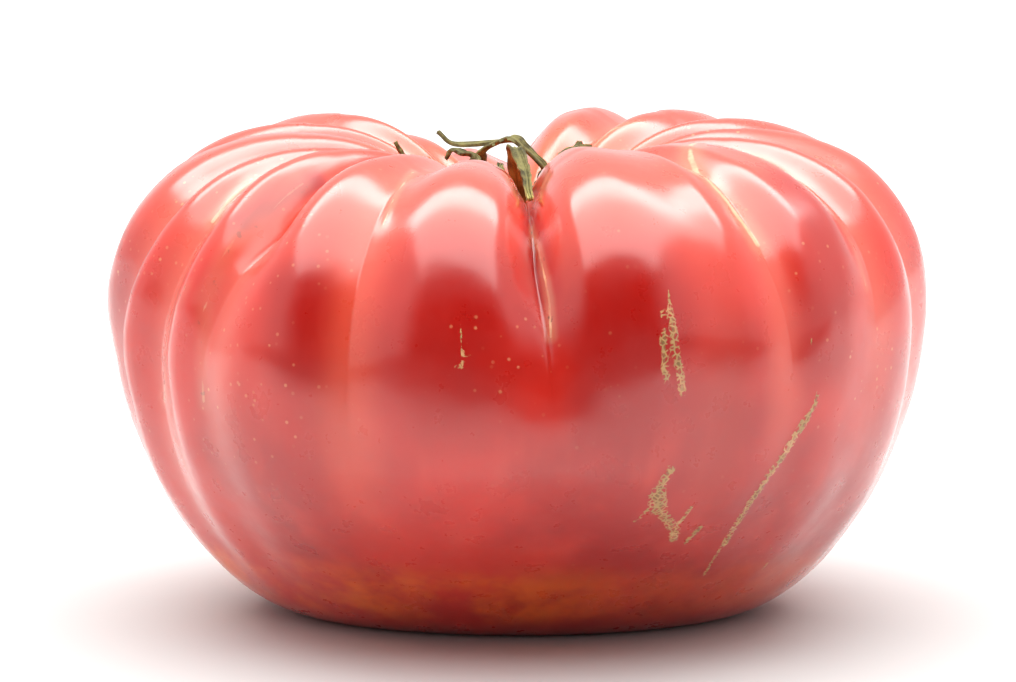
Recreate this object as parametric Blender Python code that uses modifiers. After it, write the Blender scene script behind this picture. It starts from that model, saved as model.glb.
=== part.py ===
"""A big ribbed beefsteak tomato with its dried calyx, lying on its blossom end.

The model is in metres with +Z up. The origin is the middle of the footprint, at the height
of the floor. The side with the deepest shoulder groove faces -Y. Sizes below are in
millimetres, and azimuths are in degrees, counted from -Y towards +X.
"""

import math

import bmesh
import bpy
import numpy as np

MM = 0.001
NAME = "tomato"

# The outline of the fruit, as a half section from the foot to the bottom of the stem cavity.
HALF_WIDTH = 60.0
BELLY_HEIGHT = 44.0
FOOT_RADIUS = 31.0
CREST_RADIUS = 33.0
CREST_HEIGHT = 70.5
CAVITY_FLOOR = 52.0
LOW_FULLNESS = 1.76
HIGH_FULLNESS = 2.2
CAVITY_FLARE = 2.5
BELLY_DEPTH_SHARE = 0.94
FOOT_DEPTH_SHARE = 0.62

# Each groove between two ribs: azimuth at the belly, lean of its top, depth on the shoulder,
# depth on the flank, reach to each side, height at which the shoulder depth runs out, and
# sharpness, from 0 for a soft hollow to 1 for a tight fold.
GROOVES = [
    (4.2, -2.0, 3.4, 0.5, 14.0, 30.0, 0.2),
    (4.2, -2.0, 5.2, 0.0, 6.5, 36.0, 0.5),
    (27.0, 0.0, 0.5, 0.5, 11.0, 10.0, 0.0),
    (38.5, -2.0, 2.2, 0.6, 7.5, 36.0, 0.2),
    (55.0, 3.0, 2.4, 0.5, 8.5, 44.0, 0.2),
    (78.0, -2.0, 3.2, 1.4, 13.0, 14.0, 0.3),
    (98.0, 0.0, 3.5, 1.0, 13.0, 20.0, 0.2),
    (124.0, 0.0, 4.0, 1.0, 14.0, 20.0, 0.3),
    (150.0, 0.0, 3.0, 1.0, 12.0, 20.0, 0.2),
    (181.0, 0.0, 5.5, 1.4, 14.0, 16.0, 0.5),
    (202.0, 0.0, 2.2, 0.8, 11.0, 20.0, 0.2),
    (224.0, 0.0, 3.5, 1.0, 13.0, 20.0, 0.2),
    (246.0, 0.0, 2.6, 0.9, 12.0, 20.0, 0.2),
    (264.0, 0.0, 3.0, 1.0, 10.0, 20.0, 0.2),
    (281.0, 8.0, 3.2, 1.2, 10.0, 14.0, 0.2),
    (298.0, 5.0, 3.0, 1.1, 9.0, 14.0, 0.2),
    (311.5, 7.0, 2.2, 0.9, 9.0, 30.0, 0.2),
    (311.5, 7.0, 4.2, 0.0, 6.0, 54.0, 0.8),
    (336.7, 0.0, 2.4, 0.9, 11.0, 22.0, 0.2),
]

# Broad swells and hollows of the shoulder: azimuth, spread, height.
SWELLS = [
    (17.0, 14.0, 0.8),
    (82.0, 28.0, 1.2),
    (128.0, 24.0, 1.8),
    (162.0, 14.0, 1.6),
    (197.0, 22.0, -5.0),
    (235.0, 30.0, 2.0),
    (322.0, 12.0, -0.6),
    (352.0, 18.0, -1.2),
]

# Mesh lines between two neighbouring grooves, as shares of the gap.
RIB_LINES = (0.0, 0.07, 0.2, 0.4, 0.6, 0.8, 0.93)

# Mesh rings, as shares of the section's length from the foot to the cavity floor.
FOOT_RINGS = 2
FLANK_RINGS = 19
CAVITY_RINGS = 13

# The dried calyx. Each sepal is a greatest width, a turn of its tip, and a run of points
# from the stub outwards: azimuth, distance from the middle, height over the cavity's wall.
SEPAL_THICKNESS = 0.7
TIP_WIDTH = 0.8
SEPALS = {
    "sepal_1": (2.2, 0.0, [
        (10, 5, 1.5), (0, 9, 4.5), (-2, 14, 6.4), (2, 19, 5.0), (3, 23, 3.0), (3, 28, 1.7), (3, 33, 1.5),
    ]),
    "sepal_2": (2.2, 10.0, [
        (135, 5, 1.6), (132, 5.4, 5.5), (120, 4.4, 9.6), (160, 3.6, 13.0), (-172, 5, 13.2),
        (-156, 6.6, 11.2), (-131, 12.2, 5.4), (-127, 14.9, 4.3),
    ]),
    "sepal_3": (1.8, 20.0, [
        (-125, 5, 1.6), (-120, 5.8, 6.0), (-101, 5.3, 10.9), (-108, 3.2, 14.7), (-145, 1.2, 16.7),
        (114, 1.2, 15.2),
    ]),
    "sepal_4": (2.0, 15.0, [
        (-65, 5, 1.6), (-67, 6.8, 6.0), (-70, 6.9, 9.4), (-76, 8.3, 8.6), (-82, 9.6, 7.6), (-84, 10.4, 5.6),
    ]),
    "sepal_5": (2.0, 10.0, [
        (80, 5, 1.6), (95, 6, 5.5), (108, 6.6, 8.8), (120, 9.9, 7.2), (123, 12.8, 5.2),
    ]),
    "sepal_6": (2.4, 0.0, [(-97, 5, 1.5), (-96, 9, 1.7), (-94, 13, 1.7), (-92, 16.5, 1.5), (-91, 18, 2.8)]),
    "sepal_7": (2.6, 0.0, [(160, 5, 1.5), (155, 9, 1.8), (150, 13, 1.7), (146, 17, 1.6)]),
    "sepal_8": (2.6, 0.0, [(-160, 5, 1.5), (-165, 9, 1.8), (-168, 12.5, 1.7), (-170, 15, 1.6)]),
}
STRIP_LINES = 4
STRIP_STEPS = 20

STUB_RADIUS = 2.3
STUB_FLARE = 0.4
STUB_FOOT = 54.3
STUB_TOP = 61.5


def smooth_step(share):
    """Ease from 0 to 1."""
    share = np.clip(share, 0.0, 1.0)
    return share * share * (3.0 - 2.0 * share)


def quarter(steps):
    """Angles of a quarter turn."""
    return np.linspace(0.0, math.pi / 2.0, steps)


def outline():
    """Distance from the axis and height along the half section, from the foot's middle up."""
    turn = quarter(400)
    foot = np.linspace(0.0, FOOT_RADIUS, 400)
    low = FOOT_RADIUS + (HALF_WIDTH - FOOT_RADIUS) * np.sin(turn) ** (2.0 / LOW_FULLNESS)
    low_height = BELLY_HEIGHT * (1.0 - np.cos(turn) ** (2.0 / LOW_FULLNESS))
    high = CREST_RADIUS + (HALF_WIDTH - CREST_RADIUS) * np.cos(turn) ** (2.0 / HIGH_FULLNESS)
    rise = CREST_HEIGHT - BELLY_HEIGHT
    high_height = BELLY_HEIGHT + rise * np.sin(turn) ** (2.0 / HIGH_FULLNESS)
    share = np.linspace(1.0, 0.0, 400)
    drop = CREST_HEIGHT - CAVITY_FLOOR
    wall = CAVITY_FLOOR + drop * (1.0 - (1.0 - share) ** CAVITY_FLARE) ** 1.4
    radius = np.concatenate([foot, low[1:], high[1:], CREST_RADIUS * share[1:]])
    height = np.concatenate([foot * 0.0, low_height[1:], high_height[1:], wall[1:]])
    return radius, height


RADIUS, HEIGHT = outline()
STEPS = np.hypot(np.diff(RADIUS), np.diff(HEIGHT))
ALONG = np.concatenate([[0.0], np.cumsum(STEPS)])
CREST_AT = float(ALONG[np.argmax(HEIGHT)])
FOOT_AT = FOOT_RADIUS
LENGTH = float(ALONG[-1])


def section(along):
    """Radius, height and outward direction of the half section at a distance along it."""
    step = 0.25
    before = np.clip(along - step, 0.0, LENGTH)
    after = np.clip(along + step, 0.0, LENGTH)
    run = np.interp(after, ALONG, RADIUS) - np.interp(before, ALONG, RADIUS)
    rise = np.interp(after, ALONG, HEIGHT) - np.interp(before, ALONG, HEIGHT)
    size = np.hypot(run, rise)
    radius = np.interp(along, ALONG, RADIUS)
    height = np.interp(along, ALONG, HEIGHT)
    return radius, height, rise / size, -run / size


def turn_between(azimuth, centre):
    """Signed angle from centre to azimuth, within half a turn."""
    return (azimuth - centre + 180.0) % 360.0 - 180.0


def fold(share):
    """Depth of a tight fold between two round ribs: 1 in its middle, 0 at its reach."""
    share = np.sqrt(share * share + 0.0009) - 0.03
    share = np.clip(1.0 - share, 0.0, 1.0)
    return 1.0 - np.sqrt(np.clip(1.0 - share * share, 0.0, None))


def hollow(share):
    """Depth of a soft hollow: 1 in its middle, 0 at its reach."""
    return 0.5 + 0.5 * np.cos(math.pi * np.clip(share, 0.0, 1.0))


def fruit_point(azimuth, along):
    """Points of the fruit's skin, in millimetres."""
    radius, height, out, up = section(along)
    inside = along > CREST_AT
    shoulder = (height - BELLY_HEIGHT + 6.0) / (CREST_HEIGHT - BELLY_HEIGHT)
    shoulder = np.where(inside, 1.0, smooth_step(shoulder))
    core = np.where(inside, smooth_step(radius / CREST_RADIUS * 1.25 - 0.12), 1.0)
    belly = np.sin(math.pi * np.clip(height / CREST_HEIGHT, 0.0, 1.0)) ** 0.7
    belly = np.where(inside, 0.0, belly * smooth_step((height - 0.5) / 12.0))
    push = np.zeros(np.broadcast(azimuth, along).shape)
    for centre, lean, depth, flank, reach, end, sharp in GROOVES:
        share = np.abs(turn_between(azimuth, centre + lean * shoulder)) / reach
        fade = smooth_step((height - end) / (CREST_HEIGHT - end - 4.0))
        fade = np.where(inside, 1.0, fade)
        groove = sharp * fold(share) + (1.0 - sharp) * hollow(share)
        push = push - depth * fade * core * groove - flank * belly * hollow(share)
    for centre, spread, swell in SWELLS:
        around = np.exp(-((turn_between(azimuth, centre) / spread) ** 2))
        push = push + swell * around * shoulder * core
    radius = radius + out * push
    height = height + up * push
    rest = smooth_step(np.interp(along, ALONG, HEIGHT) / 30.0)
    depth_share = FOOT_DEPTH_SHARE + (BELLY_DEPTH_SHARE - FOOT_DEPTH_SHARE) * rest
    depth_share = np.where(inside, BELLY_DEPTH_SHARE, depth_share)
    turn = np.radians(azimuth)
    across = radius * np.sin(turn)
    back = -radius * np.cos(turn) * depth_share
    return np.stack([across, back, height], axis=-1)


def rib_azimuths():
    """Azimuth of each mesh line at the belly, and the lean of its top."""
    grooves = sorted({(groove[0] % 360.0, groove[1]) for groove in GROOVES})
    lines = []
    for number, (start, lean) in enumerate(grooves):
        end, next_lean = grooves[(number + 1) % len(grooves)]
        gap = (end - start) % 360.0
        for share in RIB_LINES:
            lines.append((start + share * gap, lean + share * (next_lean - lean)))
    return np.array(lines)


def ring_positions():
    """Distance along the section of each mesh ring, both poles included."""
    foot = np.linspace(0.0, FOOT_AT, FOOT_RINGS + 1)
    share = np.linspace(0.0, 1.0, FLANK_RINGS + 1)[1:]
    flank = FOOT_AT + (CREST_AT - FOOT_AT) * share
    share = np.linspace(0.0, 1.0, CAVITY_RINGS + 1)[1:]
    cavity = CREST_AT + (LENGTH - CREST_AT) * share
    return np.concatenate([foot, flank, cavity])


def material(name, colour, roughness):
    """A plain material."""
    made = bpy.data.materials.new(name)
    made.use_nodes = True
    shader = made.node_tree.nodes["Principled BSDF"]
    shader.inputs["Base Color"].default_value = (*colour, 1.0)
    shader.inputs["Roughness"].default_value = roughness
    return made


def add_object(name, shape, look, group):
    """Turn a bmesh into a smooth named object of the collection."""
    mesh = bpy.data.meshes.new(name)
    shape.to_mesh(mesh)
    shape.free()
    for face in mesh.polygons:
        face.use_smooth = True
    mesh.materials.append(look)
    made = bpy.data.objects.new(name, mesh)
    group.objects.link(made)
    return made


def build_fruit(look, group):
    """The fruit: a sphere's lines and rings moved onto the ribbed skin."""
    lines = rib_azimuths()
    rings = ring_positions()
    shape = bmesh.new()
    bmesh.ops.create_uvsphere(
        shape, u_segments=len(lines), v_segments=len(rings) - 1, radius=1.0
    )
    points = np.array([vertex.co[:] for vertex in shape.verts])
    around = np.arctan2(points[:, 1], points[:, 0]) / (2.0 * math.pi)
    number = np.round(around * len(lines)).astype(int) % len(lines)
    low = np.arccos(np.clip(-points[:, 2], -1.0, 1.0)) / math.pi
    ring = np.round(low * (len(rings) - 1)).astype(int)
    along = rings[ring]
    height = np.interp(along, ALONG, HEIGHT)
    top = smooth_step((height - BELLY_HEIGHT + 6.0) / (CREST_HEIGHT - BELLY_HEIGHT))
    top = np.where(along > CREST_AT, 1.0, top)
    azimuth = lines[number, 0] + lines[number, 1] * top
    skin = fruit_point(azimuth, along)
    middle = (skin.max(axis=0) + skin.min(axis=0)) / 2.0
    skin[:, :2] -= middle[:2]
    for vertex, point in zip(shape.verts, skin):
        vertex.co = point * MM
    return add_object("fruit", shape, look, group), middle[:2]


def wall_height(azimuth, distance):
    """Height of the cavity's wall at a place, before the fruit is centred."""
    along = np.linspace(CREST_AT - 12.0, LENGTH, 300)
    wall = fruit_point(np.full(300, float(azimuth)), along)
    away = np.hypot(wall[:, 0], wall[:, 1])
    order = np.argsort(away)
    return float(np.interp(distance, away[order], wall[order, 2]))


def spline(points, shares):
    """A smooth run through points, at shares of its whole."""
    points = np.array(points, float)
    ends = np.concatenate([[2 * points[0] - points[1]], points, [2 * points[-1] - points[-2]]])
    place = np.clip(shares, 0.0, 1.0) * (len(points) - 1)
    cell = np.minimum(place.astype(int), len(points) - 2)
    part = (place - cell)[:, None]
    a, b, c, d = ends[cell], ends[cell + 1], ends[cell + 2], ends[cell + 3]
    bend = (2 * a - 5 * b + 4 * c - d) * part**2 + (3 * b - a - 3 * c + d) * part**3
    return b + 0.5 * ((c - a) * part + bend)


def build_sepal(name, width, tilt, run, look, group):
    """A dried sepal: a narrow strip bent along a run of points, then given thickness."""
    places = []
    for azimuth, distance, lift in run:
        turn = math.radians(azimuth)
        height = wall_height(azimuth, distance) + lift
        places.append((distance * math.sin(turn), -distance * math.cos(turn), height))
    shape = bmesh.new()
    bmesh.ops.create_grid(shape, x_segments=STRIP_LINES, y_segments=STRIP_STEPS, size=1.0)
    grid = np.array([vertex.co[:] for vertex in shape.verts])
    share = (grid[:, 1] + 1.0) / 2.0
    side = grid[:, 0]
    middle = spline(places, share)
    ahead = spline(places, np.clip(share + 0.02, 0.0, 1.0))
    behind = spline(places, np.clip(share - 0.02, 0.0, 1.0))
    run_way = ahead - behind
    run_way /= np.linalg.norm(run_way, axis=1)[:, None]
    flat = np.cross(run_way, (0.0, 0.0, 1.0))
    flat /= np.linalg.norm(flat, axis=1)[:, None]
    face = np.cross(flat, run_way)
    turn = np.radians(tilt) * share
    across = flat * np.cos(turn)[:, None] + face * np.sin(turn)[:, None]
    normal = face * np.cos(turn)[:, None] - flat * np.sin(turn)[:, None]
    root = 0.7 + 0.3 * smooth_step(share / 0.25)
    taper = 1.0 - (1.0 - TIP_WIDTH / width) * smooth_step((share - 0.2) / 0.8)
    half = width / 2.0 * root * taper
    cup = 0.35 * half * side**2
    points = middle + across * (half * side)[:, None] + normal * cup[:, None]
    for vertex, point in zip(shape.verts, points):
        vertex.co = point * MM
    made = add_object(name, shape, look, group)
    solid = made.modifiers.new("thickness", "SOLIDIFY")
    solid.thickness = SEPAL_THICKNESS * MM
    solid.offset = 0.0
    return made


def build_stub(look, group):
    """The broken pedicel: a short tapered stub on a flared receptacle."""
    shape = bmesh.new()
    height = STUB_TOP - STUB_FOOT
    bmesh.ops.create_uvsphere(shape, u_segments=20, v_segments=16, radius=1.0)
    for vertex in shape.verts:
        share = (vertex.co.z + 1.0) / 2.0
        size = math.hypot(vertex.co.x, vertex.co.y)
        flare = 1.0 + STUB_FLARE * (1.0 - share) ** 2
        reach = STUB_RADIUS * flare * min(1.0, 1.6 * size)
        if size > 1e-6:
            vertex.co.x *= reach / size
            vertex.co.y *= reach / size
        vertex.co.z = STUB_FOOT + height * share
        vertex.co *= MM
    return add_object("pedicel", shape, look, group)


def clear_scene():
    """Remove whatever the scene holds."""
    for old in list(bpy.data.objects):
        bpy.data.objects.remove(old)


def main():
    """Build the tomato."""
    clear_scene()
    group = bpy.data.collections.new(NAME)
    bpy.context.scene.collection.children.link(group)
    build_fruit(material("tomato_skin", (0.55, 0.07, 0.04), 0.3), group)
    for name, (width, tilt, run) in SEPALS.items():
        build_sepal(name, width, tilt, run, material(name, (0.10, 0.10, 0.04), 0.7), group)
    build_stub(material("pedicel", (0.16, 0.17, 0.07), 0.7), group)


main()
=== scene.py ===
"""The looks of a big ribbed beefsteak tomato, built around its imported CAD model."""

import math

import bmesh
import bpy
import numpy as np
from mathutils import Matrix, Vector, noise


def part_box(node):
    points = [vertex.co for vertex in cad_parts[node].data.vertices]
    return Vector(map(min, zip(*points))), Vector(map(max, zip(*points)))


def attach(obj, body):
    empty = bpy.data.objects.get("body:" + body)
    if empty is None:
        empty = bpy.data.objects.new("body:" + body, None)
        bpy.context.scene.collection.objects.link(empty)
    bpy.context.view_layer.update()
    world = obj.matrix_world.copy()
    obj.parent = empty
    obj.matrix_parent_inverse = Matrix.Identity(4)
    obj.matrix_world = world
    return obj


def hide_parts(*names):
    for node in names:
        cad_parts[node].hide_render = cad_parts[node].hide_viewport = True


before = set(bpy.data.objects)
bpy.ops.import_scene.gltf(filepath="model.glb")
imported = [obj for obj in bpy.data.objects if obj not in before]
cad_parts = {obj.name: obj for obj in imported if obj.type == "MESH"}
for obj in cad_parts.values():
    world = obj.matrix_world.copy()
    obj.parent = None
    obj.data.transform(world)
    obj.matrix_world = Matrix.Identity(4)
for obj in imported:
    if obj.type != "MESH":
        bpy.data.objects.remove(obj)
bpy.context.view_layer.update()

MM = 0.001

# The section and ribs of the CAD fruit, in millimetres and degrees. Azimuths are counted
# from -Y towards +X, and heights from the floor.
HALF_WIDTH = 60.0
BELLY_HEIGHT = 44.0
FOOT_RADIUS = 31.0
CREST_RADIUS = 33.0
CREST_HEIGHT = 70.5
CAVITY_FLOOR = 52.0
LOW_FULLNESS = 1.76
HIGH_FULLNESS = 2.2
CAVITY_FLARE = 2.5
BELLY_DEPTH_SHARE = 0.94
FOOT_DEPTH_SHARE = 0.62

# Azimuth at the belly, lean of its top, depth on the shoulder, depth on the flank, reach to
# each side, height at which the shoulder depth runs out, and sharpness, from 0 for a soft
# hollow to 1 for a tight fold.
GROOVES = [
    (4.2, -2.0, 3.4, 0.5, 14.0, 30.0, 0.2),
    (4.2, -2.0, 5.2, 0.0, 6.5, 36.0, 0.5),
    (27.0, 0.0, 0.5, 0.5, 11.0, 10.0, 0.0),
    (38.5, -2.0, 2.2, 0.6, 7.5, 36.0, 0.2),
    (55.0, 3.0, 2.4, 0.5, 8.5, 44.0, 0.2),
    (78.0, -2.0, 3.2, 1.4, 13.0, 14.0, 0.3),
    (98.0, 0.0, 3.5, 1.0, 13.0, 20.0, 0.2),
    (124.0, 0.0, 4.0, 1.0, 14.0, 20.0, 0.3),
    (150.0, 0.0, 3.0, 1.0, 12.0, 20.0, 0.2),
    (181.0, 0.0, 5.5, 1.4, 14.0, 16.0, 0.5),
    (202.0, 0.0, 2.2, 0.8, 11.0, 20.0, 0.2),
    (224.0, 0.0, 3.5, 1.0, 13.0, 20.0, 0.2),
    (246.0, 0.0, 2.6, 0.9, 12.0, 20.0, 0.2),
    (264.0, 0.0, 3.0, 1.0, 10.0, 20.0, 0.2),
    (281.0, 8.0, 3.2, 1.2, 10.0, 14.0, 0.2),
    (298.0, 5.0, 3.0, 1.1, 9.0, 14.0, 0.2),
    (311.5, 7.0, 2.2, 0.9, 9.0, 30.0, 0.2),
    (311.5, 7.0, 4.2, 0.0, 6.0, 54.0, 0.8),
    (336.7, 0.0, 2.4, 0.9, 11.0, 22.0, 0.2),
]

# Broad swells and hollows of the shoulder: azimuth, spread, height.
SWELLS = [
    (17.0, 14.0, 0.8),
    (82.0, 28.0, 1.2),
    (128.0, 24.0, 1.8),
    (162.0, 14.0, 1.6),
    (197.0, 22.0, -5.0),
    (235.0, 30.0, 2.0),
    (322.0, 12.0, -0.6),
    (352.0, 18.0, -1.2),
]


def smooth_step(share):
    """Ease from 0 to 1."""
    share = np.clip(share, 0.0, 1.0)
    return share * share * (3.0 - 2.0 * share)


def quarter(steps):
    """Angles of a quarter turn."""
    return np.linspace(0.0, math.pi / 2.0, steps)


def outline():
    """Distance from the axis and height along the half section, from the foot's middle up."""
    turn = quarter(400)
    foot = np.linspace(0.0, FOOT_RADIUS, 400)
    low = FOOT_RADIUS + (HALF_WIDTH - FOOT_RADIUS) * np.sin(turn) ** (2.0 / LOW_FULLNESS)
    low_height = BELLY_HEIGHT * (1.0 - np.cos(turn) ** (2.0 / LOW_FULLNESS))
    high = CREST_RADIUS + (HALF_WIDTH - CREST_RADIUS) * np.cos(turn) ** (2.0 / HIGH_FULLNESS)
    rise = CREST_HEIGHT - BELLY_HEIGHT
    high_height = BELLY_HEIGHT + rise * np.sin(turn) ** (2.0 / HIGH_FULLNESS)
    share = np.linspace(1.0, 0.0, 400)
    drop = CREST_HEIGHT - CAVITY_FLOOR
    wall = CAVITY_FLOOR + drop * (1.0 - (1.0 - share) ** CAVITY_FLARE) ** 1.4
    radius = np.concatenate([foot, low[1:], high[1:], CREST_RADIUS * share[1:]])
    height = np.concatenate([foot * 0.0, low_height[1:], high_height[1:], wall[1:]])
    return radius, height


RADIUS, HEIGHT = outline()
STEPS = np.hypot(np.diff(RADIUS), np.diff(HEIGHT))
ALONG = np.concatenate([[0.0], np.cumsum(STEPS)])
CREST_AT = float(ALONG[np.argmax(HEIGHT)])
FOOT_AT = FOOT_RADIUS
LENGTH = float(ALONG[-1])


def section(along):
    """Radius, height and outward direction of the half section at a distance along it."""
    step = 0.25
    before = np.clip(along - step, 0.0, LENGTH)
    after = np.clip(along + step, 0.0, LENGTH)
    run = np.interp(after, ALONG, RADIUS) - np.interp(before, ALONG, RADIUS)
    rise = np.interp(after, ALONG, HEIGHT) - np.interp(before, ALONG, HEIGHT)
    size = np.hypot(run, rise)
    radius = np.interp(along, ALONG, RADIUS)
    height = np.interp(along, ALONG, HEIGHT)
    return radius, height, rise / size, -run / size


def turn_between(azimuth, centre):
    """Signed angle from centre to azimuth, within half a turn."""
    return (azimuth - centre + 180.0) % 360.0 - 180.0


def fold(share):
    """Depth of a tight fold between two round ribs: 1 in its middle, 0 at its reach."""
    share = np.sqrt(share * share + 0.0009) - 0.03
    share = np.clip(1.0 - share, 0.0, 1.0)
    return 1.0 - np.sqrt(np.clip(1.0 - share * share, 0.0, None))


def hollow(share):
    """Depth of a soft hollow: 1 in its middle, 0 at its reach."""
    return 0.5 + 0.5 * np.cos(math.pi * np.clip(share, 0.0, 1.0))


def fruit_point(azimuth, along):
    """Points of the fruit's skin, in millimetres."""
    radius, height, out, up = section(along)
    inside = along > CREST_AT
    shoulder = (height - BELLY_HEIGHT + 6.0) / (CREST_HEIGHT - BELLY_HEIGHT)
    shoulder = np.where(inside, 1.0, smooth_step(shoulder))
    core = np.where(inside, smooth_step(radius / CREST_RADIUS * 1.25 - 0.12), 1.0)
    belly = np.sin(math.pi * np.clip(height / CREST_HEIGHT, 0.0, 1.0)) ** 0.7
    belly = np.where(inside, 0.0, belly * smooth_step((height - 0.5) / 12.0))
    push = np.zeros(np.broadcast(azimuth, along).shape)
    for centre, lean, depth, flank, reach, end, sharp in GROOVES:
        share = np.abs(turn_between(azimuth, centre + lean * shoulder)) / reach
        fade = smooth_step((height - end) / (CREST_HEIGHT - end - 4.0))
        fade = np.where(inside, 1.0, fade)
        groove = sharp * fold(share) + (1.0 - sharp) * hollow(share)
        push = push - depth * fade * core * groove - flank * belly * hollow(share)
    for centre, spread, swell in SWELLS:
        around = np.exp(-((turn_between(azimuth, centre) / spread) ** 2))
        push = push + swell * around * shoulder * core
    radius = radius + out * push
    height = height + up * push
    rest = smooth_step(np.interp(along, ALONG, HEIGHT) / 30.0)
    depth_share = FOOT_DEPTH_SHARE + (BELLY_DEPTH_SHARE - FOOT_DEPTH_SHARE) * rest
    depth_share = np.where(inside, BELLY_DEPTH_SHARE, depth_share)
    turn = np.radians(azimuth)
    across = radius * np.sin(turn)
    back = -radius * np.cos(turn) * depth_share
    return np.stack([across, back, height], axis=-1)


def wall_height(azimuth, distance):
    """Height of the cavity's wall at a place, before the fruit is centred."""
    along = np.linspace(CREST_AT - 12.0, LENGTH, 300)
    wall = fruit_point(np.full(300, float(azimuth)), along)
    away = np.hypot(wall[:, 0], wall[:, 1])
    order = np.argsort(away)
    return float(np.interp(distance, away[order], wall[order, 2]))


def flank_point(azimuth, height):
    """The point of the outer skin at an azimuth and a height."""
    along = np.linspace(FOOT_AT, CREST_AT, 600)
    skin = fruit_point(np.full(600, float(azimuth)), along)
    return skin[int(np.argmin(np.abs(skin[:, 2] - height)))]


# The fine skin's grid.
LINES = 440
SCAR_SIDE = (14.0, 56.0)
SCAR_DENSITY = 2.2
FOOT_RINGS = 10
FLANK_RINGS = 168
CAVITY_RINGS = 38


def grid_azimuths():
    """Azimuths of the fine skin's lines: one runs along each groove, and they close in on it."""
    centres = sorted({(groove[0], groove[1]) for groove in GROOVES})
    spans = []
    for number, (start, lean) in enumerate(centres):
        end, next_lean = centres[(number + 1) % len(centres)]
        gap = (end - start) % 360.0
        middle = start + gap / 2.0
        dense = SCAR_DENSITY if SCAR_SIDE[0] < middle < SCAR_SIDE[1] else 1.0
        spans.append((start, lean, gap, next_lean, gap * dense))
    whole = sum(span[4] for span in spans)
    lines = []
    for start, lean, gap, next_lean, weight in spans:
        count = max(6, round(LINES * weight / whole))
        share = np.arange(count) / count
        share = share - 0.1 * np.sin(2.0 * math.pi * share)
        for part in share:
            lines.append((start + part * gap, lean + part * (next_lean - lean)))
    return np.array(lines)


def grid_rings():
    """Distances along the section of the fine skin's rings."""
    foot = np.linspace(0.0, FOOT_AT, FOOT_RINGS + 1)[1:]
    flank = np.linspace(FOOT_AT, CREST_AT, FLANK_RINGS + 1)[1:]
    cavity = np.linspace(CREST_AT, LENGTH, CAVITY_RINGS + 1)[1:-1]
    return np.concatenate([foot, flank, cavity])


def noise_at(points, scale, seed):
    """Smooth noise, from about -1 to 1, at points in millimetres."""
    shift = Vector((seed * 17.3, seed * 5.1, seed * 11.7))
    return np.array([noise.noise(Vector(point) / scale + shift) for point in points])


# Corky scars: half width, relief, then azimuth and height of the points that they follow.
SCARS = [
    (0.42, 0.14, [(18.3, 48.7), (18.2, 47.0), (18.4, 45.7), (18.4, 44.2), (18.6, 42.3)]),
    (0.48, 0.15, [(19.2, 51.3), (19.6, 49.2), (19.8, 46.8), (20.4, 43.8), (21.1, 40.5)]),
    (0.14, 0.04, [(19.3, 54.1), (19.5, 52.2), (19.2, 51.3)]),
    (0.16, 0.05, [(17.6, 51.9), (18.2, 50.7)]),
    (0.55, 0.18, [(20.5, 29.6), (19.5, 27.6), (19.0, 26.1)]),
    (1.05, 0.20, [(19.0, 26.1), (19.6, 23.9)]),
    (0.62, 0.18, [(19.6, 23.6), (21.5, 21.8), (23.2, 19.9), (23.6, 18.1)]),
    (0.26, 0.08, [(25.0, 23.8), (23.4, 20.7)]),
    (0.22, 0.06, [(16.4, 21.8), (18.3, 24.1)]),
    (0.36, 0.10, [(26.0, 17.3), (27.6, 19.8)]),
    (0.34, 0.12, [(43.0, 38.6), (42.8, 36.9), (41.8, 35.3)]),
    (0.52, 0.16, [(41.8, 35.3), (40.5, 33.2), (38.7, 30.3), (36.4, 27.2), (34.9, 23.9)]),
    (0.46, 0.14, [(34.9, 23.9), (33.9, 19.8), (33.2, 16.3)]),
    (0.24, 0.08, [(33.2, 16.3), (32.5, 13.7), (32.8, 10.9)]),
    (0.14, 0.04, [(-7.9, 49.8), (-7.4, 47.3), (-7.7, 45.1), (-6.7, 42.7)]),
    (0.16, 0.04, [(-8.7, 44.3), (-7.7, 45.0), (-6.2, 45.7)]),
    (0.14, 0.05, [(41.8, 47.3), (41.4, 45.3)]),
    (0.18, 0.06, [(62.2, 26.6), (70.5, 19.3)]),
    (0.16, 0.05, [(43.3, 15.4), (44.0, 14.6)]),
    (0.18, 0.05, [(45.8, 12.2), (46.2, 10.6)]),
]

# Pale seams on the skin: half width, strength, then azimuth and distance along the half
# section of the points that they follow.
SEAMS = [
    (0.20, 1.0, [(2.3, 122.0), (2.5, 116.0), (3.2, 109.6), (3.8, 102.0), (4.1, 98.0), (4.1, 92.0)]),
    (0.42, 1.0, [(46.0, 130.0), (40.0, 126.5), (36.5, 122.0), (35.2, 116.0), (35.5, 110.0), (36.6, 104.5)]),
    (0.42, 1.0, [(46.0, 130.0), (53.0, 131.0), (58.5, 128.0), (58.6, 124.0), (57.6, 120.0), (56.4, 114.7)]),
    (0.22, 0.5, [(56.4, 114.7), (55.4, 108.0), (55.0, 96.0)]),
    (0.16, 0.8, [(-25.5, 129.2), (-23.2, 121.6), (-22.0, 115.0), (-21.6, 109.9)]),
    (0.34, 0.45, [(-44.6, 119.0), (-44.9, 110.0), (-46.5, 103.0), (-48.2, 95.0), (-48.4, 80.0)]),
    (0.30, 0.7, [(-58.5, 118.0), (-57.8, 113.3), (-57.5, 108.0)]),
    (0.30, 0.4, [(-52.0, 96.0), (-58.0, 88.0), (-62.0, 78.0)]),
    (0.36, 0.5, [(76.0, 122.0), (75.5, 112.0), (75.8, 103.0), (77.2, 95.0), (78.5, 84.0)]),
    (0.30, 0.6, [(141.0, 146.0), (138.8, 142.0), (133.4, 137.8)]),
]

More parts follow.
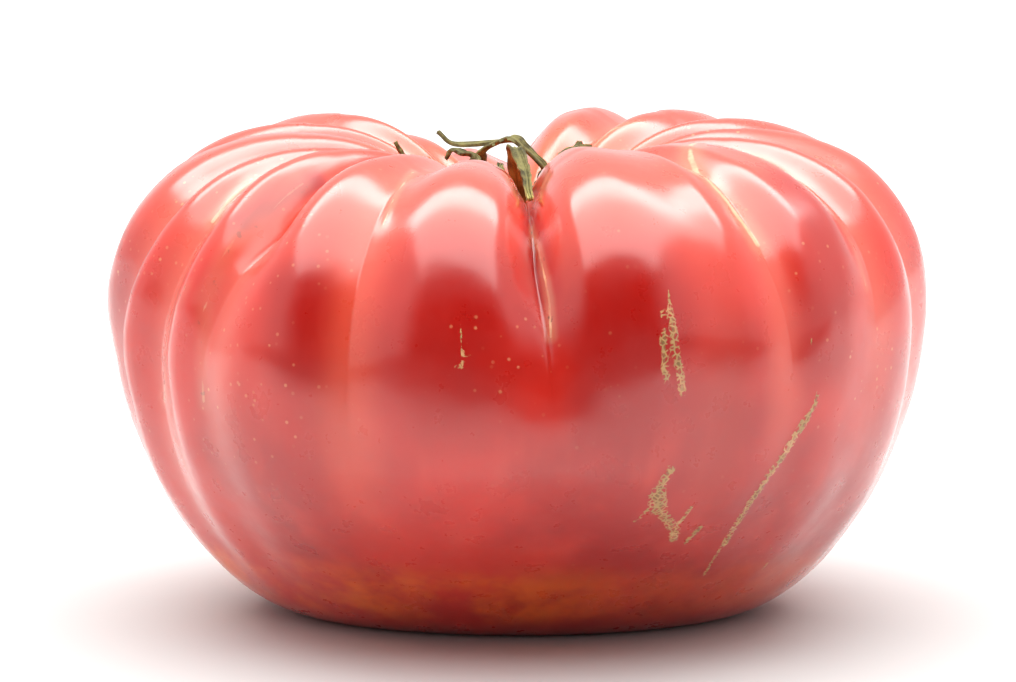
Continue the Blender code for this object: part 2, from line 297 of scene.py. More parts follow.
# Half width and strength of the seams of the back, the azimuths between which they lie, and
# their run along the half section.
BACK_SEAM = (0.30, 0.45)
BACK_SIDE = (88.0, 285.0)
BACK_RUN = (134.0, 112.0)

# Painted dark reflection and shade: patches of deeper red where the lobes would mirror the dim
# front of the room, and in the front fold and the deep crease on the left, where shade falls.
# Half width, strength, then azimuth and distance along the half section of the points that
# they follow.
PAINTED_DARK_REFLECTIONS = [
    (9.0, 1.0, [(-9.0, 98.0), (-10.0, 86.0)]),
    (8.0, 0.9, [(15.0, 98.0), (14.0, 85.0)]),
    (5.0, 0.9, [(-31.0, 97.0), (-31.0, 88.0)]),
    (5.5, 1.0, [(50.0, 112.0), (48.0, 104.0), (45.0, 95.0), (44.0, 88.0)]),
    (2.6, 1.0, [(2.3, 124.0), (3.0, 112.0), (4.0, 100.0)]),
    (1.7, 1.0, [(-43.9, 122.0), (-44.3, 116.5), (-45.1, 111.6), (-46.2, 107.5)]),
]


def seam_routes():
    """The seams above, and one along the top of each groove of the back."""
    routes = list(SEAMS)
    for centre, lean, *_ in GROOVES:
        if BACK_SIDE[0] < centre < BACK_SIDE[1]:
            routes.append((*BACK_SEAM, [(centre + lean, along) for along in BACK_RUN]))
    return routes


def line_distance(points, start, end):
    """Distance of points from a straight run."""
    way = end - start
    share = np.clip(((points - start) @ way) / (way @ way), 0.0, 1.0)
    return np.linalg.norm(points - start - share[:, None] * way, axis=1)


def along_routes(points, routes, place_at):
    """For each point, its distance from the nearest route in half widths, and that one's level."""
    near = np.full(len(points), 30.0)
    level = np.zeros(len(points))
    for half, own, route in routes:
        places = [place_at(*step) for step in route]
        for start, end in zip(places[:-1], places[1:]):
            share = line_distance(points, start, end) / half
            level = np.where(share < near, own, level)
            near = np.minimum(near, share)
    return near, level


def seam_point(azimuth, along):
    """The point of the skin at an azimuth and a distance along the half section."""
    return fruit_point(np.full(1, float(azimuth)), np.full(1, float(along)))[0]


# Grooves deeper than this keep the skin's own red; shallower ones get a painted pale reflection.
DEEP_GROOVE = 3.3
SHOULDER_HEIGHT = 70.0


def valley(azimuth, height, inside):
    """How far down a shallow groove each point lies, 1 in its middle: where the pale reflection is painted.
    """
    valley_reflection = np.zeros(azimuth.shape)
    lift = np.where(inside, 1.0, height / SHOULDER_HEIGHT)
    for centre, lean, depth, _, reach, end, _ in GROOVES:
        if depth > DEEP_GROOVE:
            continue
        share = np.abs(turn_between(azimuth, centre + lean * lift))
        fade = smooth_step((height - 0.6 * end) / 24.0) * min(1.0, depth / 3.0)
        valley_reflection = np.maximum(valley_reflection, fade * hollow(share / (0.7 * reach)))
    return valley_reflection


def store(mesh, name, values):
    """Keep a number for each point of a mesh, for its material."""
    layer = mesh.attributes.new(name, "FLOAT", "POINT")
    layer.data.foreach_set("value", np.asarray(values, np.float32))


# Slow waves of the skin: height, length and seed.
WAVES = [(0.45, 26.0, 1), (0.22, 11.0, 2), (0.05, 4.0, 3)]
CAVITY_WAVE_SHARE = 0.35
SCAR_GRAIN = 0.9
SEAM_RISE = 0.10
SEAM_SPREAD = 1.4


def outward(skin):
    """Outward direction at each point, from the neighbouring points of the grid."""
    across = np.roll(skin, -1, axis=1) - np.roll(skin, 1, axis=1)
    upward = np.gradient(skin, axis=0)
    out = np.cross(across, upward)
    out /= np.linalg.norm(out, axis=2)[:, :, None]
    return np.concatenate([[[0.0, 0.0, -1.0]], out.reshape(-1, 3), [[0.0, 0.0, 1.0]]])


def skin_relief(points, inside, scar, scar_rise, seam, seam_show):
    """How far the skin's waves, scars and seams lift each point."""
    clear = smooth_step((points[:, 2] - 0.5) / 8.0)
    waves = sum(height * noise_at(points, length, seed) for height, length, seed in WAVES)
    waves = np.where(inside, CAVITY_WAVE_SHARE * waves, waves)
    crust = scar_rise * np.clip(1.15 - scar, 0.0, 1.0) ** 0.6
    crust = crust * (0.75 + 0.6 * noise_at(points, SCAR_GRAIN, 4))
    cord = SEAM_RISE * seam_show * np.exp(-((seam / SEAM_SPREAD) ** 2))
    return waves * clear + crust + cord


def skin_faces(rings, count):
    """Faces of a grid of rings that is closed by a point below and a point above."""
    faces = []
    for ring in range(rings - 1):
        first = 1 + ring * count
        for line in range(count):
            following = (line + 1) % count
            faces.append((
                first + line,
                first + following,
                first + count + following,
                first + count + line,
            ))
    last = 1 + (rings - 1) * count
    top = last + count
    for line in range(count):
        following = (line + 1) % count
        faces.append((0, 1 + following, 1 + line))
        faces.append((last + line, last + following, top))
    return faces


def build_skin():
    """The fruit's fine surface, with its relief and the fields that its material reads."""
    lines = grid_azimuths()
    rings = grid_rings()
    azimuth, along = np.meshgrid(lines[:, 0], rings)
    lean = np.broadcast_to(lines[:, 1], azimuth.shape)
    height = np.interp(along, ALONG, HEIGHT)
    top = smooth_step((height - BELLY_HEIGHT + 6.0) / (CREST_HEIGHT - BELLY_HEIGHT))
    top = np.where(along > CREST_AT, 1.0, top)
    real = azimuth + lean * top
    skin = fruit_point(real, along)
    low = fruit_point(np.zeros(1), np.zeros(1))
    high = fruit_point(np.zeros(1), np.full(1, LENGTH))
    points = np.concatenate([low, skin.reshape(-1, 3), high])
    azimuth = np.concatenate([[0.0], real.ravel(), [0.0]])
    along = np.concatenate([[0.0], along.ravel(), [LENGTH]])

    radius = np.hypot(points[:, 0], points[:, 1])
    inside = along > CREST_AT
    seam, seam_show = along_routes(points, seam_routes(), seam_point)
    scar, scar_rise = along_routes(points, SCARS, flank_point)
    # Where the dark reflection and shade are painted.
    patch, painted_shade_strength = along_routes(points, PAINTED_DARK_REFLECTIONS, seam_point)
    # Where the pale reflection is painted in the shallow grooves.
    valley_reflection = valley(azimuth, points[:, 2], inside)
    relief = skin_relief(points, inside, scar, scar_rise, seam, seam_show)
    points = points + outward(skin) * relief[:, None]

    faces = skin_faces(len(rings), len(lines))
    mesh = bpy.data.meshes.new("tomato_skin")
    mesh.from_pydata((points * MM).tolist(), [], faces)
    mesh.polygons.foreach_set("use_smooth", [True] * len(faces))
    store(mesh, "seam", seam)
    store(mesh, "seam_show", seam_show)
    store(mesh, "scar", scar)
    store(mesh, "valley_reflection", valley_reflection)
    # The painted dark reflection and shade, for the material.
    store(mesh, "patch", painted_shade_strength * smooth_step((1.5 - patch) / 1.2))
    store(mesh, "rise", points[:, 2])
    store(mesh, "hollow", np.where(inside, 1.0 - radius / CREST_RADIUS, 0.0))
    made = bpy.data.objects.new("tomato_skin", mesh)
    bpy.context.scene.collection.objects.link(made)
    low_corner, high_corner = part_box("fruit")
    middle = (points.max(axis=0) + points.min(axis=0)) / 2.0 * MM
    shift = (low_corner + high_corner) / 2.0 - Vector(middle)
    shift.z = 0.0
    mesh.transform(Matrix.Translation(shift))
    return made


class Nodes:
    """A short way to write a material's node tree."""

    def __init__(self, tree):
        self.tree = tree
        tree.nodes.clear()

    def add(self, kind, inputs=None, **settings):
        """A node with its settings, and its inputs as values or other nodes' outputs."""
        node = self.tree.nodes.new(kind)
        for name, value in settings.items():
            setattr(node, name, value)
        for name, value in (inputs or {}).items():
            socket = node.inputs[name]
            if isinstance(value, bpy.types.NodeSocket):
                self.tree.links.new(value, socket)
            else:
                socket.default_value = value
        return node

    def field(self, name):
        """A number kept for each point of the mesh."""
        return self.add("ShaderNodeAttribute", attribute_name=name).outputs["Fac"]

    def math(self, operation, first, second=0.0, third=0.0, clamp=False):
        """One sum."""
        node = self.add("ShaderNodeMath", operation=operation, use_clamp=clamp)
        for socket, value in zip(node.inputs, (first, second, third)):
            if isinstance(value, bpy.types.NodeSocket):
                self.tree.links.new(value, socket)
            else:
                socket.default_value = value
        return node.outputs[0]

    def ease(self, value, low, high, to_low=0.0, to_high=1.0):
        """A smooth step from to_low to to_high while value goes from low to high."""
        node = self.add(
            "ShaderNodeMapRange",
            {0: value, 1: low, 2: high, 3: to_low, 4: to_high},
            interpolation_type="SMOOTHSTEP",
        )
        return node.outputs[0]

    def noise(self, where, scale, detail=2.0, rough=0.5, distortion=0.0):
        """A noise value from 0 to 1."""
        node = self.add(
            "ShaderNodeTexNoise",
            {"Vector": where, "Scale": scale, "Detail": detail, "Roughness": rough,
             "Distortion": distortion},
        )
        return node.outputs["Fac"]

    def stretch(self, where, scale):
        """Coordinates scaled along each axis."""
        node = self.add(
            "ShaderNodeVectorMath", {0: where, 1: scale}, operation="MULTIPLY"
        )
        return node.outputs[0]

    def mix(self, share, first, second, blend="MIX"):
        """One colour over another."""
        node = self.add("ShaderNodeMix", data_type="RGBA", blend_type=blend)
        for socket, value in ((0, share), (6, first), (7, second)):
            if isinstance(value, bpy.types.NodeSocket):
                self.tree.links.new(value, node.inputs[socket])
            elif socket == 0:
                node.inputs[socket].default_value = value
            else:
                node.inputs[socket].default_value = (*value, 1.0)
        return node.outputs[2]


def new_material(name):
    """An empty material and its writer."""
    made = bpy.data.materials.new(name)
    made.use_nodes = True
    return made, Nodes(made.node_tree)


# Colours of the skin.
# Deep red: the skin's own darker tone, and the colour of the painted dark reflection and shade.
DEEP_RED = (0.44, 0.004, 0.001)
RED = (0.68, 0.018, 0.006)
PINK_RED = (0.74, 0.046, 0.022)
SHOULDER = (0.78, 0.060, 0.022)
# Painted pale reflection of the shallow grooves.
PAINTED_VALLEY_REFLECTION = (0.80, 0.110, 0.055)
ORANGE = (0.92, 0.150, 0.012)
PALE_SEAM = (0.84, 0.52, 0.30)
CORK = (0.50, 0.30, 0.11)
OLIVE = (0.20, 0.155, 0.035)
SPECK = (0.10, 0.035, 0.015)
GOLD = (0.85, 0.42, 0.20)


def skin_colour(nodes, place):
    """Deep red patches, partly painted dark reflection and shade, a pinker lower half, paler shoulders, a
    painted pale reflection in the shallow valleys, an orange foot.
    """
    rise = nodes.field("rise")
    broad = nodes.noise(place, 26.0, 3.0, 0.55)
    colour = nodes.mix(nodes.ease(broad, 0.40, 0.64), RED, DEEP_RED)
    streak = nodes.noise(nodes.stretch(place, (1.0, 1.0, 0.22)), 95.0, 3.0, 0.55)
    band = nodes.ease(streak, 0.45, 0.75, 0.0, 0.6)
    below = nodes.ease(rise, 46.0, 26.0, 0.35, 1.0)
    colour = nodes.mix(nodes.math("MULTIPLY", band, below), colour, PINK_RED)
    side = nodes.add("ShaderNodeSeparateXYZ", {0: place}).outputs[0]
    low = nodes.math("MULTIPLY", nodes.ease(rise, 15.0, 9.0), nodes.ease(rise, 1.5, 5.0))
    low = nodes.math("MULTIPLY", low, nodes.ease(side, 0.022, -0.008, 0.35, 1.0))
    patch = nodes.ease(nodes.noise(place, 75.0, 4.0, 0.6), 0.36, 0.62)
    colour = nodes.mix(nodes.math("MULTIPLY", low, patch), colour, ORANGE)
    top = nodes.ease(nodes.math("MULTIPLY_ADD", broad, 14.0, rise), 58.0, 76.0)
    colour = nodes.mix(nodes.math("MULTIPLY", top, 0.85), colour, SHOULDER)
    # Painted pale reflection down the shallow grooves.
    valley_reflection = nodes.math("MULTIPLY", nodes.field("valley_reflection"), 0.7)
    colour = nodes.mix(valley_reflection, colour, PAINTED_VALLEY_REFLECTION)
    # Painted dark reflection and shade: deep red along the listed patches.
    patch = nodes.math("MULTIPLY", nodes.field("patch"), nodes.ease(broad, 0.25, 0.55, 0.6, 1.0))
    colour = nodes.mix(patch, colour, DEEP_RED)
    inner = nodes.ease(nodes.field("hollow"), 0.15, 0.75, 0.0, 0.75)
    return nodes.mix(inner, colour, ORANGE)


# Flecks: cells in a metre, radius as a share of a cell, share of the cells that stay
# empty, and clouds in a metre.
FLECKS = [(900.0, 0.30, 0.75, 38.0), (430.0, 0.16, 0.9, 71.0)]


def skin_flecks(nodes, place, colour):
    """Fine pale flecks in loose clouds, fewer on the lower half."""
    for scale, radius, empty, clouds in FLECKS:
        cell = nodes.add("ShaderNodeTexVoronoi", {"Vector": place, "Scale": scale})
        spot = nodes.ease(cell.outputs["Distance"], radius, 0.4 * radius)
        chance = nodes.add("ShaderNodeSeparateColor", {0: cell.outputs["Color"]})
        rare = nodes.ease(chance.outputs[0], empty, empty + 0.1)
        cloud = nodes.ease(nodes.noise(place, clouds, 4.0, 0.65), 0.48, 0.66)
        upper = nodes.ease(nodes.field("rise"), 24.0, 40.0, 0.15, 1.0)
        cloud = nodes.math("MULTIPLY", cloud, upper)
        flecks = nodes.math("MULTIPLY", nodes.math("MULTIPLY", spot, rare), cloud)
        colour = nodes.mix(nodes.math("MULTIPLY", flecks, 0.6), colour, GOLD)
    return colour


def skin_material():
    """Glossy, slightly translucent tomato skin, with seams, corky scars and gold flecks."""
    made, nodes = new_material("tomato_skin")
    place = nodes.add("ShaderNodeTexCoord").outputs["Object"]
    seam = nodes.field("seam")
    seam_show = nodes.field("seam_show")
    scar = nodes.field("scar")
    colour = skin_flecks(nodes, place, skin_colour(nodes, place))

    # Pale seams, broken up, with a soft halo and dark specks.
    grain = nodes.noise(place, 900.0, 3.0, 0.6)
    wander = nodes.math("MULTIPLY_ADD", grain, 0.9, seam)
    halo = nodes.math("MULTIPLY", nodes.ease(seam, 7.0, 0.6), seam_show)
    colour = nodes.mix(nodes.math("MULTIPLY", halo, 0.22), colour, PALE_SEAM)
    breaks = nodes.ease(nodes.noise(place, 150.0, 4.0, 0.6), 0.36, 0.50, 0.25, 1.0)
    line = nodes.math("MULTIPLY", nodes.ease(wander, 1.7, 1.0), seam_show)
    line = nodes.math("MULTIPLY", line, breaks)
    colour = nodes.mix(nodes.math("MULTIPLY", line, 0.85), colour, PALE_SEAM)
    specks = nodes.ease(nodes.noise(place, 620.0, 2.0, 0.5), 0.66, 0.72)
    specks = nodes.math("MULTIPLY", specks, nodes.ease(seam, 4.0, 2.0))
    specks = nodes.math("MULTIPLY", specks, seam_show)
    colour = nodes.mix(nodes.math("MULTIPLY", specks, 0.8), colour, SPECK)

    # Corky scars: a tan net of fine threads, filled with olive where it is thickest.
    bead = nodes.add("ShaderNodeTexVoronoi", {"Vector": place, "Scale": 1500.0})
    net = nodes.add(
        "ShaderNodeTexVoronoi", {"Vector": place, "Scale": 1300.0}, feature="DISTANCE_TO_EDGE"
    )
    thread = nodes.ease(net.outputs["Distance"], 0.20, 0.07)
    ragged = nodes.noise(place, 1500.0, 4.0, 0.7)
    edge = nodes.math("MULTIPLY_ADD", ragged, 2.2, scar)
    crust = nodes.ease(edge, 2.5, 2.0)
    core = nodes.ease(edge, 1.9, 1.3, 0.0, 0.85)
    crust = nodes.math("MULTIPLY", crust, nodes.math("MAXIMUM", thread, core))
    tone = nodes.mix(thread, OLIVE, CORK)
    tone = nodes.mix(nodes.ease(nodes.noise(place, 500.0, 2.0), 0.4, 0.7, 0.0, 0.5), tone, GOLD)
    colour = nodes.mix(crust, colour, tone)

    rough = nodes.ease(nodes.noise(place, 220.0, 4.0, 0.6), 0.3, 0.7, 0.26, 0.38)
    rough = nodes.math("MAXIMUM", rough, nodes.math("MULTIPLY", crust, 0.85))
    rough = nodes.math("MAXIMUM", rough, nodes.math("MULTIPLY", line, 0.6))

    fine = nodes.noise(place, 700.0, 3.0, 0.55)
    dents = nodes.noise(place, 130.0, 2.0, 0.5)
    lift = nodes.math("MULTIPLY_ADD", dents, 0.12, nodes.math("MULTIPLY", fine, 0.020))
    beads = nodes.math("MULTIPLY", nodes.ease(bead.outputs["Distance"], 0.7, 0.1), crust)
    lift = nodes.math("MULTIPLY_ADD", beads, 0.18, lift)
    bump = nodes.add(
        "ShaderNodeBump", {"Height": lift, "Strength": 0.9, "Distance": 0.001}
    )
    skin = nodes.add(
        "ShaderNodeBsdfPrincipled",
        {
            "Base Color": colour,
            "Roughness": rough,
            "Normal": bump.outputs[0],
            "IOR": 1.45,
            "Subsurface Weight": 0.45,
            "Subsurface Radius": (1.0, 0.22, 0.10),
            "Subsurface Scale": 0.005,
            "Coat Weight": 1.0,
            "Coat Roughness": 0.17,
            "Coat IOR": 1.6,
        },
    )
    out = nodes.add("ShaderNodeOutputMaterial")
    made.node_tree.links.new(skin.outputs[0], out.inputs[0])
    return made


# Colours of the dried calyx and stalk.
SEPAL_DARK = (0.060, 0.052, 0.014)
SEPAL_LIGHT = (0.26, 0.23, 0.07)
SEPAL_TIP = (0.45, 0.42, 0.12)
STALK_DARK = (0.07, 0.065, 0.025)
STALK_LIGHT = (0.24, 0.21, 0.09)


def dry_material(name, dark, light, tip):
    """Dried olive-brown calyx: ridged along its length, paler where it joins the fruit."""
    made, nodes = new_material(name)
    place = nodes.add("ShaderNodeTexCoord").outputs["Object"]
    share = nodes.field("share")
    side = nodes.field("side")
    mottle = nodes.noise(place, 420.0, 4.0, 0.65)
    colour = nodes.mix(nodes.ease(mottle, 0.35, 0.68), dark, light)
    rib = nodes.ease(nodes.math("ABSOLUTE", side), 0.0, 0.35, 1.0, 0.0)
    colour = nodes.mix(nodes.math("MULTIPLY", rib, 0.45), colour, light)
    colour = nodes.mix(nodes.ease(share, 0.72, 1.0, 0.0, tip), colour, SEPAL_TIP)
    ridge = nodes.add(
        "ShaderNodeMath", {0: nodes.math("MULTIPLY", side, 22.0)}, operation="SINE"
    ).outputs[0]
    lift = nodes.math("MULTIPLY_ADD", ridge, 0.05, nodes.math("MULTIPLY", mottle, 0.25))
    bump = nodes.add("ShaderNodeBump", {"Height": lift, "Strength": 0.8, "Distance": 0.001})
    shader = nodes.add(
        "ShaderNodeBsdfPrincipled",
        {"Base Color": colour, "Roughness": 0.62, "Normal": bump.outputs[0], "IOR": 1.4},
    )
    out = nodes.add("ShaderNodeOutputMaterial")
    made.node_tree.links.new(shader.outputs[0], out.inputs[0])
    return made


# The dried calyx, as in the CAD: greatest width, turn of the tip, then azimuth, distance
# from the middle and height over the cavity's wall of the points that each sepal follows.
TIP_WIDTH = 0.8
SEPALS = {
    "sepal_1": (2.2, 0.0, [
        (10, 5, 1.5), (0, 9, 4.5), (-2, 14, 6.4), (2, 19, 5.0), (3, 23, 3.0), (3, 28, 1.7), (3, 33, 1.5),
    ]),
    "sepal_2": (2.2, 10.0, [
        (135, 5, 1.6), (132, 5.4, 5.5), (120, 4.4, 9.6), (160, 3.6, 13.0), (-172, 5, 13.2),
        (-156, 6.6, 11.2), (-131, 12.2, 5.4), (-127, 14.9, 4.3),
    ]),
    "sepal_3": (1.8, 20.0, [
        (-125, 5, 1.6), (-120, 5.8, 6.0), (-101, 5.3, 10.9), (-108, 3.2, 14.7), (-145, 1.2, 16.7),
        (114, 1.2, 15.2),
    ]),
    "sepal_4": (2.0, 15.0, [
        (-65, 5, 1.6), (-67, 6.8, 6.0), (-70, 6.9, 9.4), (-76, 8.3, 8.6), (-82, 9.6, 7.6), (-84, 10.4, 5.6),
    ]),
    "sepal_5": (2.0, 10.0, [
        (80, 5, 1.6), (95, 6, 5.5), (108, 6.6, 8.8), (120, 9.9, 7.2), (123, 12.8, 5.2),
    ]),
    "sepal_6": (2.4, 0.0, [(-97, 5, 1.5), (-96, 9, 1.7), (-94, 13, 1.7), (-92, 16.5, 1.5), (-91, 18, 2.8)]),
    "sepal_7": (2.6, 0.0, [(160, 5, 1.5), (155, 9, 1.8), (150, 13, 1.7), (146, 17, 1.6)]),
    "sepal_8": (2.6, 0.0, [(-160, 5, 1.5), (-165, 9, 1.8), (-168, 12.5, 1.7), (-170, 15, 1.6)]),
}
SEPAL_LINES = 12
SEPAL_STEPS = 120
SEPAL_THICKNESS = 0.45


def spline(points, shares):
    """A smooth run through points, at shares of its whole."""
    points = np.array(points, float)
    ends = np.concatenate([[2 * points[0] - points[1]], points, [2 * points[-1] - points[-2]]])
    place = np.clip(shares, 0.0, 1.0) * (len(points) - 1)
    cell = np.minimum(place.astype(int), len(points) - 2)
    part = (place - cell)[:, None]
    a, b, c, d = ends[cell], ends[cell + 1], ends[cell + 2], ends[cell + 3]
    bend = (2 * a - 5 * b + 4 * c - d) * part**2 + (3 * b - a - 3 * c + d) * part**3
    return b + 0.5 * ((c - a) * part + bend)


def build_sepal(name, width, tilt, run, look, seed):
    """A shrivelled sepal: a ribbed, curled strip along the run of the CAD one."""
    places = []
    for azimuth, distance, lift in run:
        turn = math.radians(azimuth)
        height = wall_height(azimuth, distance) + lift
        places.append((distance * math.sin(turn), -distance * math.cos(turn), height))
    shape = bmesh.new()
    bmesh.ops.create_grid(shape, x_segments=SEPAL_LINES, y_segments=SEPAL_STEPS, size=1.0)
    grid = np.array([vertex.co[:] for vertex in shape.verts])
    share = (grid[:, 1] + 1.0) / 2.0
    side = grid[:, 0]
    middle = spline(places, share)
    way = spline(places, np.clip(share + 0.02, 0.0, 1.0)) - spline(
        places, np.clip(share - 0.02, 0.0, 1.0)
    )
    way /= np.linalg.norm(way, axis=1)[:, None]
    flat = np.cross(way, (0.0, 0.0, 1.0))
    flat /= np.linalg.norm(flat, axis=1)[:, None]
    face = np.cross(flat, way)
    turn = np.radians(tilt) * share
    across = flat * np.cos(turn)[:, None] + face * np.sin(turn)[:, None]
    normal = face * np.cos(turn)[:, None] - flat * np.sin(turn)[:, None]
    root = 0.7 + 0.3 * smooth_step(share / 0.25)
    taper = 1.0 - (1.0 - TIP_WIDTH / width) * smooth_step((share - 0.2) / 0.8)
    half = width / 2.0 * root * taper
    ragged = 1.0 + 0.10 * np.sin(share * 61.0 + seed) * side**2
    curl = 0.45 * half * np.abs(side) ** 1.7
    rib = 0.16 * np.exp(-((side / 0.16) ** 2)) + 0.05 * np.cos(side * 16.0)
    rise = curl + rib + 0.12 * np.sin(share * 23.0 + seed * 2.0) * side
    points = middle + across * (half * side * ragged)[:, None] + normal * rise[:, None]
    for vertex, point in zip(shape.verts, points):
        vertex.co = point * MM
    mesh = bpy.data.meshes.new(name + "_dried")
    shape.to_mesh(mesh)
    shape.free()
    mesh.polygons.foreach_set("use_smooth", [True] * len(mesh.polygons))
    store(mesh, "share", share)
    store(mesh, "side", side)
    mesh.materials.append(look)
    made = bpy.data.objects.new(name + "_dried", mesh)
    bpy.context.scene.collection.objects.link(made)
    solid = made.modifiers.new("thickness", "SOLIDIFY")
    solid.thickness = SEPAL_THICKNESS * MM
    solid.offset = 0.0
    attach(made, "root")
    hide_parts(name)
    return made


STUB_SIDES = 64
STUB_RINGS = 48
STUB_FLARE = 0.4
STUB_ROUGH_TOP = 0.05


def build_stub(look):
    """The broken stalk: a ribbed stub with a rough top and a flared foot."""
    low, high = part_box("pedicel")
    centre = (low + high) / 2.0
    radius = (high.x - low.x) / 2.0
    shape = bmesh.new()
    bmesh.ops.create_uvsphere(
        shape, u_segments=STUB_SIDES, v_segments=STUB_RINGS, radius=1.0
    )
    for vertex in shape.verts:
        share = (vertex.co.z + 1.0) / 2.0
        size = math.hypot(vertex.co.x, vertex.co.y)
        turn = math.atan2(vertex.co.y, vertex.co.x)
        flare = (1.0 + STUB_FLARE * (1.0 - share) ** 2) / (1.0 + STUB_FLARE)
        ridge = 1.0 + 0.05 * math.cos(9.0 * turn) + 0.03 * math.sin(17.0 * turn + 4.0 * share)
        reach = radius * flare * min(1.0, 1.6 * size) * ridge * 0.95
        grain = noise.noise(Vector((vertex.co.x, vertex.co.y, 3.0)) * 3.0)
        rough = STUB_ROUGH_TOP * (high.z - low.z) * grain
        if size > 1e-6:
            vertex.co.x *= reach / size
            vertex.co.y *= reach / size
        vertex.co.x += centre.x
        vertex.co.y += centre.y
        vertex.co.z = low.z + (high.z - low.z) * share + rough * share**6
    mesh = bpy.data.meshes.new("stalk_stub")
    shape.to_mesh(mesh)
    shape.free()
    mesh.polygons.foreach_set("use_smooth", [True] * len(mesh.polygons))
    mesh.materials.append(look)
    made = bpy.data.objects.new("stalk_stub", mesh)
    bpy.context.scene.collection.objects.link(made)
    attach(made, "root")
    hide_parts("pedicel")
    return made


# The floor's white, its dark in the tomato's gloss, and the place in front of the tomato
# where the gloss starts to lose it, with the run over which it does.
FLOOR_WHITE = (0.60, 0.60, 0.60)
FLOOR_DARK = (0.03, 0.03, 0.03)
FLOOR_FRONT = -0.11
FLOOR_FADE = 0.11
FLOOR_HALF_SIDE = 6.0


def build_floor():
    """A plain white surface, which the tomato doesn't mirror beyond the near front of it."""
    made, nodes = new_material("white_floor")
    place = nodes.add("ShaderNodeTexCoord").outputs["Object"]
    north = nodes.add("ShaderNodeSeparateXYZ", {0: place}).outputs[1]
    far = nodes.ease(north, FLOOR_FRONT, FLOOR_FRONT - FLOOR_FADE)
    mirrored = nodes.add("ShaderNodeLightPath").outputs["Is Glossy Ray"]
    dark = nodes.math("MULTIPLY", far, mirrored)
    colour = nodes.mix(dark, FLOOR_WHITE, FLOOR_DARK)
    shader = nodes.add("ShaderNodeBsdfPrincipled", {"Base Color": colour, "Roughness": 0.8})
    out = nodes.add("ShaderNodeOutputMaterial")
    made.node_tree.links.new(shader.outputs[0], out.inputs[0])
    shape = bmesh.new()
    bmesh.ops.create_grid(shape, x_segments=1, y_segments=1, size=FLOOR_HALF_SIDE)
    mesh = bpy.data.meshes.new("floor")
    shape.to_mesh(mesh)
    shape.free()
    mesh.materials.append(made)
    floor = bpy.data.objects.new("floor", mesh)
    bpy.context.scene.collection.objects.link(floor)


# The panel's edges, as slopes away from straight up: where its light ends and where it is
# whole, to each side, in front, behind, and for the brighter rim behind.
PANEL_SIDE = (1.00, 0.78)
PANEL_NEAR = (0.95, 0.68)
PANEL_FAR = (-0.62, -0.45)
PANEL_RIM = (-0.02, -0.28)
PANEL_LIGHT = 3.5
PANEL_RIM_LIGHT = 4.0
ROOM_LIGHT = 0.90
BACK_LIGHT = 0.85
FRONT_LIGHT = 0.05
WARM_WHITE = (1.0, 0.985, 0.965, 1.0)
WHITE = (1.0, 1.0, 1.0, 1.0)


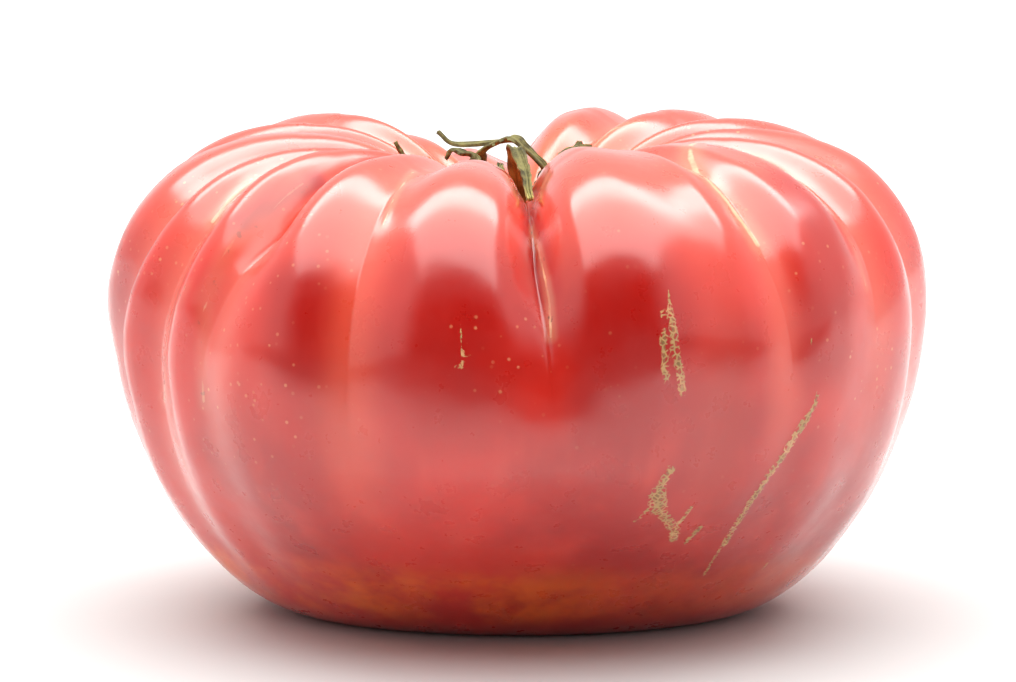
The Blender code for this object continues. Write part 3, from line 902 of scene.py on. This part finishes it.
def build_studio():
    """Soft light all round: a big panel overhead, pale walls, a dim front, a white backdrop."""
    world = bpy.data.worlds.new("studio")
    world.use_nodes = True
    bpy.context.scene.world = world
    nodes = Nodes(world.node_tree)
    way = nodes.add("ShaderNodeTexCoord").outputs["Generated"]
    parts = nodes.add("ShaderNodeSeparateXYZ", {0: way})
    east, north, up = parts.outputs
    front = nodes.math("MULTIPLY", north, -1.0)
    above = nodes.math("MAXIMUM", up, 0.02)
    side = nodes.math("ABSOLUTE", nodes.math("DIVIDE", east, above))
    ahead = nodes.math("DIVIDE", front, above)

    # The panel hangs over the tomato, and its far rim is the brightest.
    panel = nodes.ease(side, *PANEL_SIDE)
    panel = nodes.math("MULTIPLY", panel, nodes.ease(ahead, *PANEL_NEAR))
    panel = nodes.math("MULTIPLY", panel, nodes.ease(ahead, *PANEL_FAR))
    panel = nodes.math("MULTIPLY", panel, nodes.ease(up, 0.05, 0.15))
    rim = nodes.math("MULTIPLY", nodes.ease(ahead, *PANEL_RIM), panel)

    flat = nodes.math("SQRT", nodes.math("SUBTRACT", 1.0, nodes.math("MULTIPLY", up, up)))
    facing = nodes.math("DIVIDE", front, nodes.math("MAXIMUM", flat, 0.001))
    dim = nodes.math("MULTIPLY", nodes.ease(facing, 0.50, 0.88), nodes.ease(up, 0.95, 0.80))
    behind = nodes.ease(facing, -0.2, -0.8, ROOM_LIGHT, BACK_LIGHT)
    gap = nodes.math("SUBTRACT", FRONT_LIGHT, behind)
    level = nodes.math("MULTIPLY_ADD", dim, gap, behind)
    level = nodes.math("MULTIPLY", level, nodes.math("SUBTRACT", 1.0, panel))
    level = nodes.math("MULTIPLY_ADD", panel, PANEL_LIGHT, level)
    level = nodes.math("MULTIPLY_ADD", rim, PANEL_RIM_LIGHT, level)
    studio = nodes.add("ShaderNodeBackground", {"Color": WARM_WHITE, "Strength": level})
    backdrop = nodes.add("ShaderNodeBackground", {"Color": WHITE, "Strength": 1.0})
    seen = nodes.add("ShaderNodeLightPath").outputs["Is Camera Ray"]
    mixed = nodes.add("ShaderNodeMixShader", {0: seen})
    world.node_tree.links.new(studio.outputs[0], mixed.inputs[1])
    world.node_tree.links.new(backdrop.outputs[0], mixed.inputs[2])
    out = nodes.add("ShaderNodeOutputWorld")
    world.node_tree.links.new(mixed.outputs[0], out.inputs[0])


CAMERA_DISTANCE = 0.520
CAMERA_ELEVATION = 8.0
CAMERA_LENS = 125.0
CAMERA_TARGET = (-0.0014, 0.0, 0.0400)


def build_camera():
    """A long lens a little above the tomato's shoulder."""
    data = bpy.data.cameras.new("camera")
    data.lens = CAMERA_LENS
    data.sensor_width = 36.0
    camera = bpy.data.objects.new("camera", data)
    bpy.context.scene.collection.objects.link(camera)
    slope = math.radians(CAMERA_ELEVATION)
    back = Vector((0.0, -math.cos(slope), math.sin(slope)))
    camera.location = Vector(CAMERA_TARGET) + back * CAMERA_DISTANCE
    camera.rotation_euler = (-back).to_track_quat("-Z", "Y").to_euler()
    bpy.context.scene.camera = camera


def main():
    """Build everything round the frame."""
    skin = build_skin()
    skin.data.materials.append(skin_material())
    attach(skin, "root")
    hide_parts("fruit")
    look = dry_material("dry_sepal", SEPAL_DARK, SEPAL_LIGHT, 0.0)
    pale = dry_material("dry_sepal_pale_tip", SEPAL_DARK, SEPAL_LIGHT, 1.0)
    for number, (name, (width, tilt, run)) in enumerate(SEPALS.items()):
        build_sepal(name, width, tilt, run, pale if name == "sepal_1" else look, number)
    build_stub(dry_material("dry_stem", STALK_DARK, STALK_LIGHT, 0.0))
    build_floor()
    build_studio()
    build_camera()
    bpy.context.scene.view_settings.view_transform = "Standard"


main()
